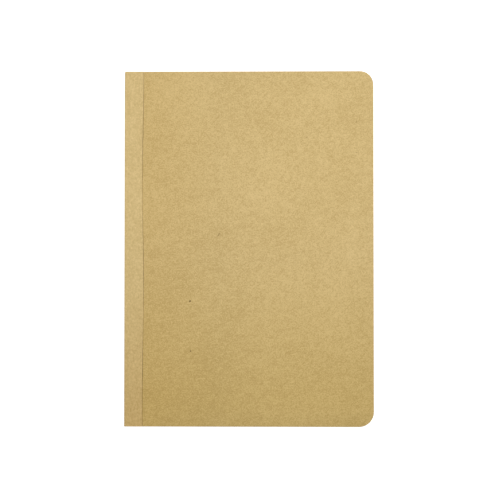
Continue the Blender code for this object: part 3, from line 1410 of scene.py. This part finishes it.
@dataclass
class Endpapers:
    """At each end a folded sheet: one leaf is glued to the cover and the other turns."""

    trim: Trim
    finishes: Finishes
    sheet: float = 0.13 * MM
    board_gap: float = 0.006 * MM
    turn_reach: float = 10 * MM
    bend_rows: float = 0.4 * MM
    fold_segments: int = 10
    fold_gap: float = 0.02 * MM
    fold_inset: float = 0.05 * MM
    fold_rows: float = 12 * MM

    def build(self) -> None:
        """Makes both endpapers."""
        for side in Side:
            self.make_pastedown(side)
            self.make_flyleaf(side)
            self.make_fold(side)

    @property
    def pasted_top(self) -> float:
        """The height of the pasted leaf's glued face."""
        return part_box("front_cover")[0].z - self.board_gap

    def dressed(self, name: str, build: BMesh, side: Side) -> Object:
        """An endpaper piece on its side of the book.

        Args:
            name: The piece's name.
            build: Its mesh, which is freed.
            side: The half that it is on.

        Returns:
            The new piece.
        """
        dress_rims(build, FACING)
        to_side(build, side, self.trim.layout)
        piece = make_piece(name, build, [self.finishes.endpaper, self.finishes.cut_paper])
        return piece

    def make_pastedown(self, side: Side) -> None:
        """Makes the leaf that is glued to a cover.

        Args:
            side: The half that it is on.
        """
        build = self.trim.slab(self.trim.layout.fold_x, self.pasted_top - self.sheet, self.pasted_top)
        piece = self.dressed(f"pasted_leaf_{side.value}", build, side)
        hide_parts(f"{side.value}_pastedown")
        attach(piece, side.cover)

    def make_flyleaf(self, side: Side) -> None:
        """Makes the leaf that turns, with narrow rows near its fold.

        Args:
            side: The half that it is on.
        """
        low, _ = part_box("front_flyleaf")
        reach = self.turn_reach
        build = self.trim.turning_leaf(low.x, low.z, low.z + self.sheet, reach, self.bend_rows)
        piece = self.dressed(f"free_leaf_{side.value}", build, side)
        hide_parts(f"{side.value}_flyleaf")
        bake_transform(piece)

    def make_fold(self, side: Side) -> None:
        """Makes the fold between the two leaves.

        Args:
            side: The half that it is on.
        """
        place = self.trim.layout
        fly_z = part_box("front_flyleaf")[0].z
        low = Vector((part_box("front_cover")[0].x + self.fold_inset, place.tail_y, fly_z))
        high = Vector((place.fold_x - self.fold_gap, place.head_y, self.pasted_top))
        build = wrapped_sheet(low, high, FULL_ROUND * (high.z - low.z), self.fold_segments)
        cut_rows(build, Axis.Y, place.rows(self.fold_rows))
        build.normal_update()
        give_thickness(build, self.sheet)
        piece = self.dressed(f"endpaper_fold_{side.value}", build, side)
        blend_to_cover(piece, side)


# ---------------------------------------------------------------- sewing and spine linings


@dataclass
class Sewing:
    """Two-ply cotton threads, one along the fold of each section, in and out at the stations."""

    layout: Layout
    finishes: Finishes
    sections: int = 7
    plies: int = 2
    ply_radius: float = 0.080 * MM
    ply_offset: float = 0.062 * MM
    lay_length: float = 1.15 * MM
    steps_per_turn: int = 9
    turns_per_run: int = 8
    ply_sides: int = 6
    stitch_depth: float = 0.6 * MM
    stitches: int = 5
    steepness: float = 2.2

    def build(self) -> None:
        """Makes the seven threads."""
        for number in range(1, self.sections + 1):
            self.make_thread(number)

    @property
    def run_length(self) -> float:
        """The length of one run of the thread before it is drawn out."""
        return self.lay_length * self.turns_per_run

    def twisted_run(self) -> Mesh:
        """A short run of the thread, open at both ends, that begins at Y zero.

        Returns:
            A new mesh.
        """
        build = bmesh.new()
        for ply in range(self.plies):
            angle = 2 * math.pi * ply / self.plies
            offset = Vector((self.ply_offset * math.cos(angle), 0, self.ply_offset * math.sin(angle)))
            stand = Matrix.Translation(offset) @ Matrix.Rotation(math.radians(90), 4, "X")
            ring = bmesh.ops.create_circle(
                build, cap_ends=False, segments=self.ply_sides, radius=self.ply_radius, matrix=stand
            )["verts"]
            edges = list({edge for vert in ring for edge in vert.link_edges})
            bmesh.ops.spin(
                build,
                geom=ring + edges,
                cent=(0, 0, 0),
                axis=(0, 1, 0),
                dvec=(0, self.lay_length / self.steps_per_turn, 0),
                angle=2 * math.pi * self.turns_per_run,
                steps=self.turns_per_run * self.steps_per_turn,
            )
        mesh = bpy.data.meshes.new("twisted_run")
        build.to_mesh(mesh)
        build.free()
        return mesh

    def make_thread(self, number: int) -> None:
        """Makes the thread of one section, from equal runs joined end to end.

        Args:
            number: The section's number, counted from the front.
        """
        node = f"sewing_thread_{number}"
        low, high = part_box(node)
        length = high.y - low.y
        runs = math.ceil(length / self.run_length)
        run = self.twisted_run()
        build = bmesh.new()
        for _ in range(runs):
            build.from_mesh(run)
            bmesh.ops.translate(build, vec=(0, -self.run_length, 0), verts=build.verts)
        bpy.data.meshes.remove(run)
        bmesh.ops.remove_doubles(build, verts=build.verts, dist=self.ply_radius / 20)
        bmesh.ops.holes_fill(build, edges=build.edges, sides=0)
        drawn = length / (runs * self.run_length)
        centre = (low + high) / 2
        for vert in build.verts:
            along = vert.co.y * drawn + length / 2
            phase = math.pi * self.stitches * (along / length + 0.5)
            side = max(-1.0, min(1.0, self.steepness * math.cos(phase)))
            vert.co.y = along
            vert.co += centre + Vector((side * self.stitch_depth / 2, 0, 0))
        bmesh.ops.recalc_face_normals(build, faces=build.faces)
        piece = make_piece(f"sewing_cotton_{number}", build, [self.finishes.cotton], sharp=60)
        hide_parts(node)
        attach(piece, "front_half" if centre.z > self.layout.middle_z + MM / 2 else "back_half")


@dataclass
class SpineLayers:
    """Glue brushed into the folds of each half, and the lining paper over it."""

    trim: Trim
    finishes: Finishes
    glue_margin: float = 0.35 * MM
    glue_rows: float = 2.5 * MM
    glue_wear: float = 0.12 * MM
    glue_periods: tuple = (1.9 * MM, 0.7 * MM)
    lining_margin: float = 1.1 * MM
    lining_rows: float = 0.4 * MM
    lining_wander: float = 0.1 * MM
    lining_periods: tuple = (3.1 * MM, 1.3 * MM)
    lining: float = 0.15 * MM
    tape_gap: float = 0.07 * MM
    fold_gap: float = 0.015 * MM
    valley: float = 0.22 * MM
    valley_width: float = 0.30 * MM
    section_top: float = 0.05 * MM
    section_pitch: float = 1.06 * MM
    row_height: float = 0.11 * MM

    def build(self) -> None:
        """Makes the glue and the lining of both halves."""
        for side in Side:
            self.make_glue(side)
            self.make_lining(side)

    @property
    def lining_x(self) -> float:
        """The inner face of the lining paper."""
        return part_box("spine_tape_front")[1].x + self.tape_gap + self.lining

    def layer(self, left: float, right: float, margin: float, rows: float) -> BMesh:
        """A flat layer along the spine of the front half.

        Args:
            left: Its outer face.
            right: Its inner face.
            margin: How far it stops short of the head and the tail.
            rows: The height of its rows.

        Returns:
            A new mesh.
        """
        place = self.trim.layout
        low_z, high_z = [corner.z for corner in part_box("spine_glue_front")]
        low = Vector((left, place.tail_y + margin, low_z))
        build = block(low, Vector((right, place.head_y - margin, high_z)))
        cut_rows(build, Axis.Z, spread(low_z, high_z, rows))
        return build

    def make_glue(self, side: Side) -> None:
        """Makes the glue of one half, which fills the valleys between the folds.

        Args:
            side: The half that it is on.
        """
        place = self.trim.layout
        right = place.fold_x - self.fold_gap
        build = self.layer(self.lining_x, right, self.glue_margin, self.row_height)
        cut_rows(build, Axis.Y, place.rows(self.glue_rows))
        first_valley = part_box("signature_1")[1].z + self.section_top
        for vert in build.verts:
            if vert.co.x > right - WELD:
                across = (first_valley - vert.co.z) / self.section_pitch
                beside = abs(across - round(across)) * self.section_pitch
                fill = max(0.0, 1 - beside / self.valley_width)
                vert.co.x += self.valley * fill * fill
            if abs(vert.co.y) > place.head_y - self.glue_margin - WELD:
                wear = self.glue_wear * (1 + wave(vert.co.z, *self.glue_periods))
                vert.co.y -= math.copysign(wear, vert.co.y)
        bmesh.ops.recalc_face_normals(build, faces=build.faces)
        to_side(build, side, place)
        piece = make_piece(f"glue_film_{side.value}", build, [self.finishes.glue], sharp=50)
        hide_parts(f"spine_glue_{side.value}")
        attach(piece, side.half)

    def make_lining(self, side: Side) -> None:
        """Makes the lining paper of one half.

        Args:
            side: The half that it is on.
        """
        place = self.trim.layout
        left, right = self.lining_x - self.lining, self.lining_x - self.fold_gap
        build = self.layer(left, right, self.lining_margin, self.lining_rows)
        for vert in build.verts:
            if abs(vert.co.y) > place.head_y - self.lining_margin - WELD:
                vert.co.y += self.lining_wander * wave(vert.co.z, *self.lining_periods)
        to_side(build, side, place)
        piece = make_piece(f"lining_strip_{side.value}", build, [self.finishes.lining])
        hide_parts(f"spine_lining_{side.value}")
        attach(piece, side.half)


# ---------------------------------------------------------------- studio


@dataclass(frozen=True)
class Softbox:
    """A square soft light that faces the book."""

    name: str
    place: tuple
    size: float
    power: float
    colour: tuple
    in_view: bool = True

    def make(self) -> None:
        """Hangs the light."""
        data = bpy.data.lights.new(self.name, "AREA")
        data.shape = "SQUARE"
        data.size = self.size
        data.energy = self.power
        data.color = self.colour
        light = bpy.data.objects.new(self.name, data)
        light.location = self.place
        light.rotation_euler = Vector(self.place).to_track_quat("Z", "Y").to_euler()
        light.visible_camera = self.in_view
        bpy.context.scene.collection.objects.link(light)


@dataclass
class Studio:
    """A white floor that curves up to a wall, soft lights, and a camera straight above."""

    floor_z: float = -1.3 * MM
    floor_radius: float = 3.0
    floor_sides: int = 64
    wall_height: float = 1.3
    bend: float = 0.6
    bend_steps: int = 8
    floor_grey: float = 0.35
    floor_glow: float = 0.98
    ambient: float = 0.03
    ambient_colour: tuple = (1.0, 0.985, 0.95, 1.0)
    lens: float = 85.0
    camera_place: tuple = (8.18 * MM, -10.16 * MM, 498.35 * MM)
    camera_tilt: tuple = (1.193, 0.974, 0.014)
    lights: tuple = (
        Softbox("overhead_softbox", (0.024, 0.060, 0.34), 0.17, 0.97, (1.0, 0.99, 0.99), False),
        Softbox("head_softbox", (0.28, 0.36, 0.48), 0.40, 1.15, (1.0, 0.99, 0.98)),
    )

    def build(self) -> None:
        """Sets up the camera, the sweep, the lights and the surroundings."""
        self.make_camera()
        self.make_sweep()
        for light in self.lights:
            light.make()
        world = bpy.data.worlds.new("studio_air")
        world.use_nodes = True
        background = world.node_tree.nodes["Background"]
        background.inputs["Color"].default_value = self.ambient_colour
        background.inputs["Strength"].default_value = self.ambient
        bpy.context.scene.world = world
        bpy.context.scene.view_settings.view_transform = "Standard"

    def make_camera(self) -> None:
        """Makes the camera, above the book and a little towards the tail."""
        data = bpy.data.cameras.new("studio_camera")
        data.lens = self.lens
        camera = bpy.data.objects.new("studio_camera", data)
        camera.location = self.camera_place
        camera.rotation_euler = [math.radians(turn) for turn in self.camera_tilt]
        bpy.context.scene.collection.objects.link(camera)
        bpy.context.scene.camera = camera

    def make_sweep(self) -> None:
        """Makes the floor and the wall that it curves up into."""
        build = bmesh.new()
        flat = self.floor_radius - self.bend
        points = [(0, 0, self.floor_z), (flat, 0, self.floor_z)]
        for step in range(1, self.bend_steps + 1):
            turn = math.radians(90 * step / self.bend_steps)
            rise = self.bend * (1 - math.cos(turn))
            points.append((flat + self.bend * math.sin(turn), 0, self.floor_z + rise))
        points.append((self.floor_radius, 0, self.wall_height))
        verts = [build.verts.new(point) for point in points]
        edges = [build.edges.new(pair) for pair in zip(verts, verts[1:])]
        bmesh.ops.spin(
            build,
            geom=verts + edges,
            cent=(0, 0, 0),
            axis=(0, 0, 1),
            angle=2 * math.pi,
            steps=self.floor_sides,
            use_merge=True,
        )
        bmesh.ops.remove_doubles(build, verts=build.verts, dist=1e-5)
        bmesh.ops.recalc_face_normals(build, faces=build.faces)
        sweep = make_piece("studio_sweep", build, [self.glowing_white()])

    def glowing_white(self) -> Material:
        """The sweep's finish: matt white with a glow that keeps it clear of shadows.

        Returns:
            The material.
        """
        material = bpy.data.materials.new("sweep_white")
        material.use_nodes = True
        looks = {
            "Base Color": (self.floor_grey, self.floor_grey, self.floor_grey, 1.0),
            "Roughness": 1.0,
            "Specular IOR Level": 0.0,
            "Emission Color": (1.0, 1.0, 1.0, 1.0),
            "Emission Strength": self.floor_glow,
        }
        for key, value in looks.items():
            material.node_tree.nodes["Principled BSDF"].inputs[key].default_value = value
        return material


def main() -> None:
    """Builds the studio and the book, piece by piece."""
    logging.basicConfig(level=logging.INFO, format="%(message)s")
    layout = Layout.read()
    Studio().build()
    trim = Trim(layout)
    finishes = Finishes(layout)
    tape = SpineTape(trim, finishes)
    tape.build()
    CoverBoards(trim, finishes).build(tape)
    Endpapers(trim, finishes).build()
    Gatherings(trim, finishes).build()
    Sewing(layout, finishes).build()
    SpineLayers(trim, finishes).build()


if __name__ == "__main__":
    main()
